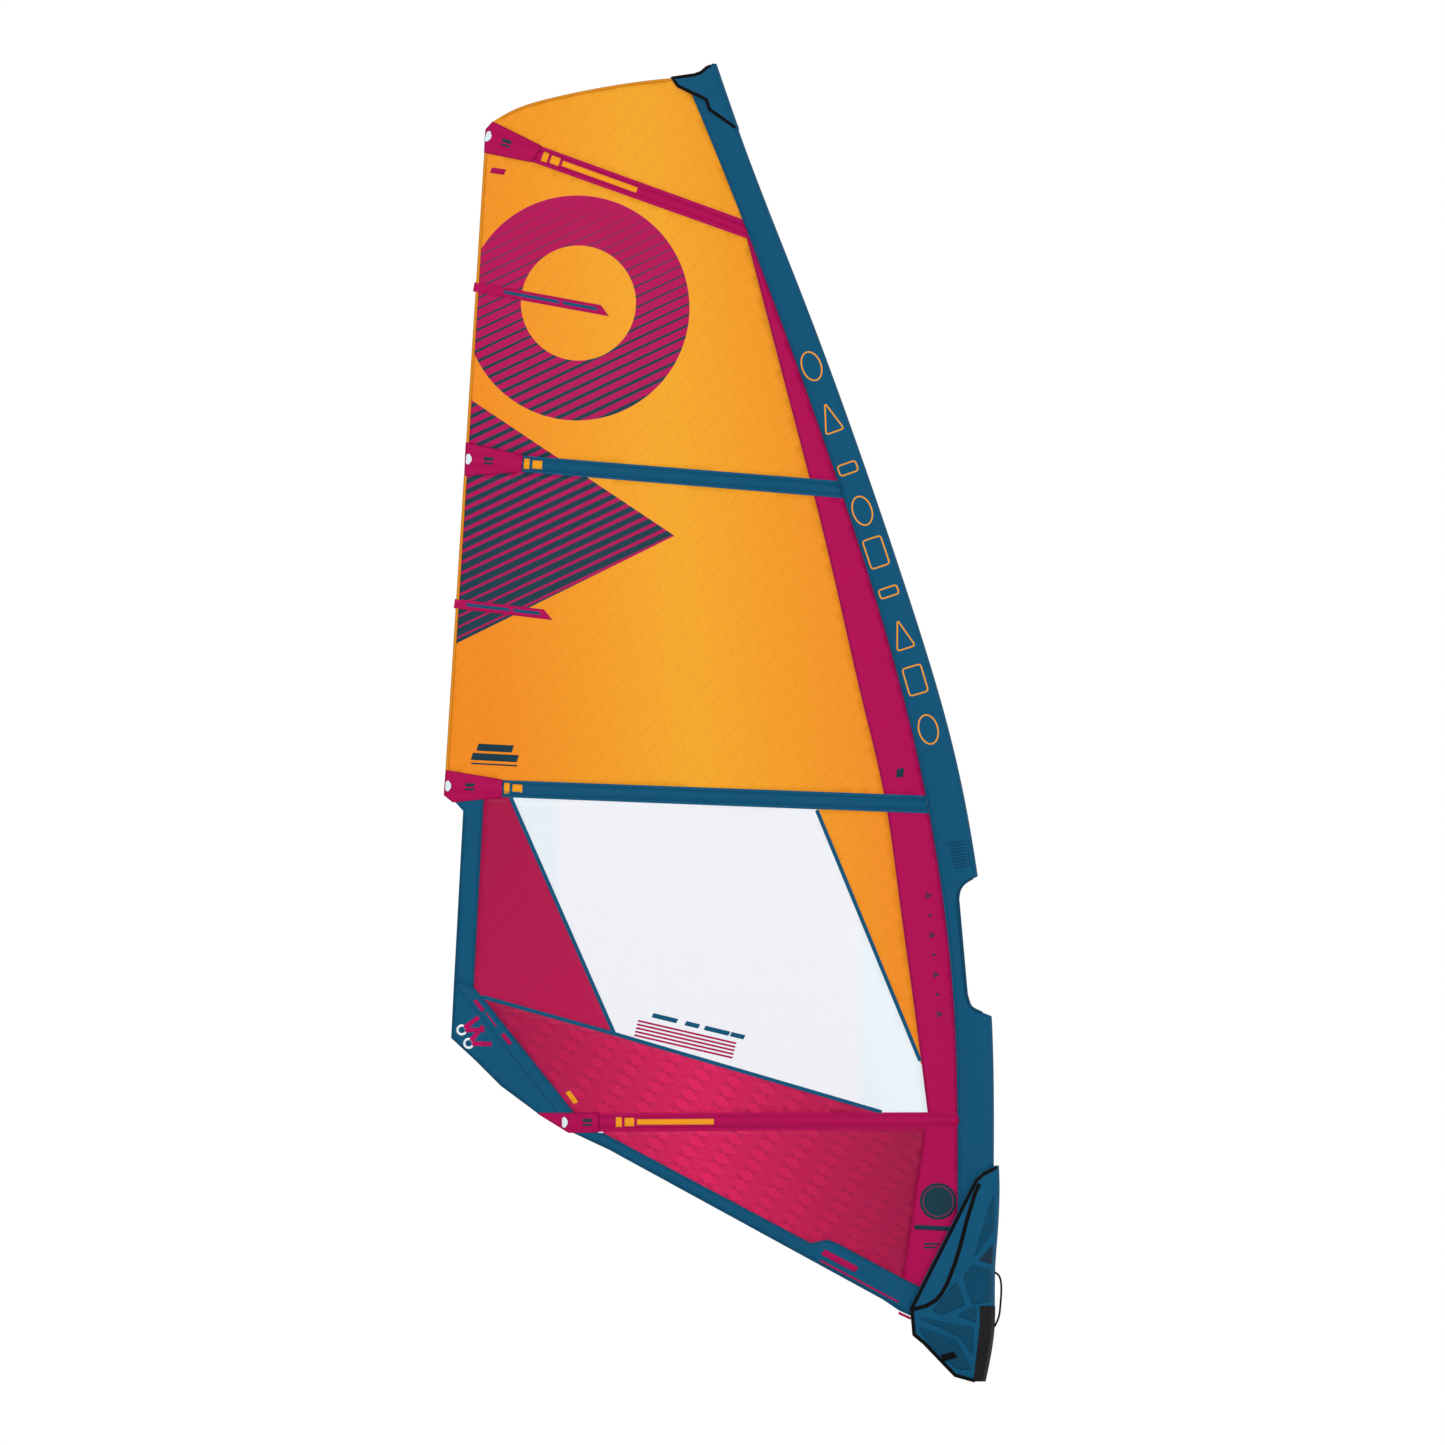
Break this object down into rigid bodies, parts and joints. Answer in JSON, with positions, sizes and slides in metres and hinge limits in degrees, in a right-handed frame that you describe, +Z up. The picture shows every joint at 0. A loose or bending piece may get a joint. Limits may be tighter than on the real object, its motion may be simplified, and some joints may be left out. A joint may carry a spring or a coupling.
{
  "type": "windsurf sail",
  "caption": "Windsurf sail with cambered film panels, mast sleeve with boom cut-out, full-length battens with screw tensioners, clear window, clew rings and a padded tack fairing.",
  "frame": {"origin": "the mast's axis at the foot of the tack fairing, where the mast enters the sail", "axes": "+X forward along the chord at the foot, +Y to port, +Z up along the luff"},
  "size_m": [1.5828, 0.1414, 3.751],
  "materials": {
    "film_orange": "laminated scrim film, satin",
    "film_crimson": "laminated X-ply film, satin",
    "film_magenta": "dyed polyester, satin",
    "film_clear": "clear window film, gloss",
    "cloth_blue": "woven polyester, satin",
    "cloth_orange": "woven polyester tape",
    "cloth_magenta": "woven polyester, satin",
    "batten_fibre": "pultruded glass and carbon rod",
    "plastic_black": "moulded, matt",
    "plastic_pale": "moulded, satin",
    "steel_bright": "polished stainless",
    "webbing_magenta": "woven webbing",
    "webbing_black": "woven webbing",
    "rubber_black": "moulded foam, matt",
    "fairing_blue": "padded cloth, satin"
  },
  "bodies": {
    "sail": {"batten_1": "batten_fibre", "batten_2": "batten_fibre", "batten_3": "batten_fibre", "batten_4": "batten_fibre", "batten_end_patches": "cloth_magenta", "batten_front_caps": "plastic_black", "batten_pocket_1": "cloth_magenta", "batten_pocket_2": "cloth_blue", "batten_pocket_3": "cloth_blue", "batten_pocket_4": "cloth_magenta", "clew_eyelet_lower": "steel_bright", "clew_eyelet_upper": "steel_bright", "clew_patch": "cloth_blue", "clew_webbing": "webbing_magenta", "fairing_bumper": "rubber_black", "fairing_port": "fairing_blue", "fairing_trim_port": "webbing_black", "foot_band": "cloth_blue", "foot_panel": "film_crimson", "handle_loop": "webbing_black", "head_cap": "cloth_blue", "head_panel": "film_orange", "leech_band": "cloth_blue", "leech_hem": "cloth_orange", "lower_panel": "film_crimson", "luff_panel_foot": "film_magenta", "luff_panel_lower": "film_magenta", "luff_panel_middle": "film_magenta", "luff_panel_upper": "film_magenta", "mast_tip_cup": "plastic_black", "middle_panel": "film_orange", "mini_batten_pockets": "cloth_magenta", "mini_battens": "batten_fibre", "sleeve_port": "cloth_blue", "sleeve_starboard": "cloth_blue", "tack_webbing": "webbing_black", "tensioner_housings": "plastic_pale", "upper_panel": "film_orange", "window_leech_panel": "film_crimson", "window_luff_panel": "film_orange", "window_panel": "film_clear", "window_seam_tapes": "cloth_blue"},
    "screw_1": {"tensioner_screw_1": "steel_bright"},
    "slider_1": {"tensioner_slider_1": "plastic_black"},
    "screw_2": {"tensioner_screw_2": "steel_bright"},
    "slider_2": {"tensioner_slider_2": "plastic_black"},
    "screw_3": {"tensioner_screw_3": "steel_bright"},
    "slider_3": {"tensioner_slider_3": "plastic_black"},
    "screw_4": {"tensioner_screw_4": "steel_bright"},
    "slider_4": {"tensioner_slider_4": "plastic_black"},
    "sheave_1": {"tack_sheave_1": "plastic_black"},
    "sheave_2": {"tack_sheave_2": "plastic_black"},
    "sheave_3": {"tack_sheave_3": "plastic_black"},
    "block": {"tack_block": "plastic_black", "tack_axle": "steel_bright"},
    "flap": {"fairing_flap": "fairing_blue", "fairing_flap_bumper": "rubber_black", "fairing_trim_flap": "webbing_black"}
  },
  "joints": [
    {"name": "tensioner_screw_1_turn", "type": "hinge", "parent": "sail", "child": "screw_1", "pos_m": [-1.40733, -0.08178, 3.53268], "axis": [0.9173, 0.2218, -0.3306], "range_deg": [-2700, 0]},
    {"name": "tensioner_slider_1_travel", "type": "slide", "parent": "sail", "child": "slider_1", "axis": [0.9173, 0.2218, -0.3306], "range_m": [-0.006, 0]},
    {"name": "tensioner_screw_2_turn", "type": "hinge", "parent": "sail", "child": "screw_2", "pos_m": [-1.46202, -0.04558, 2.61668], "axis": [0.9956, 0.0474, -0.0807], "range_deg": [-2700, 0]},
    {"name": "tensioner_slider_2_travel", "type": "slide", "parent": "sail", "child": "slider_2", "axis": [0.9956, 0.0474, -0.0807], "range_m": [-0.006, 0]},
    {"name": "tensioner_screw_3_turn", "type": "hinge", "parent": "sail", "child": "screw_3", "pos_m": [-1.52, -0.01707, 1.68985], "axis": [0.9992, -0.0138, -0.0388], "range_deg": [-2700, 0]},
    {"name": "tensioner_slider_3_travel", "type": "slide", "parent": "sail", "child": "slider_3", "axis": [0.9992, -0.0138, -0.0388], "range_m": [-0.006, 0]},
    {"name": "tensioner_screw_4_turn", "type": "hinge", "parent": "sail", "child": "screw_4", "pos_m": [-1.18901, -0.02544, 0.73602], "axis": [0.9969, -0.0782, 0.0044], "range_deg": [-2700, 0]},
    {"name": "tensioner_slider_4_travel", "type": "slide", "parent": "sail", "child": "slider_4", "axis": [0.9969, -0.0782, 0.0044], "range_m": [-0.006, 0]},
    {"name": "tack_sheave_1_spin", "type": "hinge", "parent": "block", "child": "sheave_1", "pos_m": [-0.064, 0, 0.128], "axis": [1, 0, 0], "continuous": true},
    {"name": "tack_sheave_2_spin", "type": "hinge", "parent": "block", "child": "sheave_2", "pos_m": [-0.054, 0, 0.128], "axis": [1, 0, 0], "continuous": true},
    {"name": "tack_sheave_3_spin", "type": "hinge", "parent": "block", "child": "sheave_3", "pos_m": [-0.044, 0, 0.128], "axis": [1, 0, 0], "continuous": true},
    {"name": "tack_block_swing", "type": "hinge", "parent": "sail", "child": "block", "pos_m": [-0.054, 0, 0.154], "axis": [1, 0, 0], "range_deg": [-20, 20]},
    {"name": "fairing_flap_opening", "type": "hinge", "parent": "sail", "child": "flap", "pos_m": [0.0363, -0.005, 0.15], "axis": [0.032, 0, 0.9995], "range_deg": [0, 60]}
  ],
  "couplings": [
    {"joint": "tensioner_screw_1_turn", "follows": "tensioner_slider_1_travel", "rad_per_m": 7854},
    {"joint": "tensioner_screw_2_turn", "follows": "tensioner_slider_2_travel", "rad_per_m": 7854},
    {"joint": "tensioner_screw_3_turn", "follows": "tensioner_slider_3_travel", "rad_per_m": 7854},
    {"joint": "tensioner_screw_4_turn", "follows": "tensioner_slider_4_travel", "rad_per_m": 7854}
  ]
}
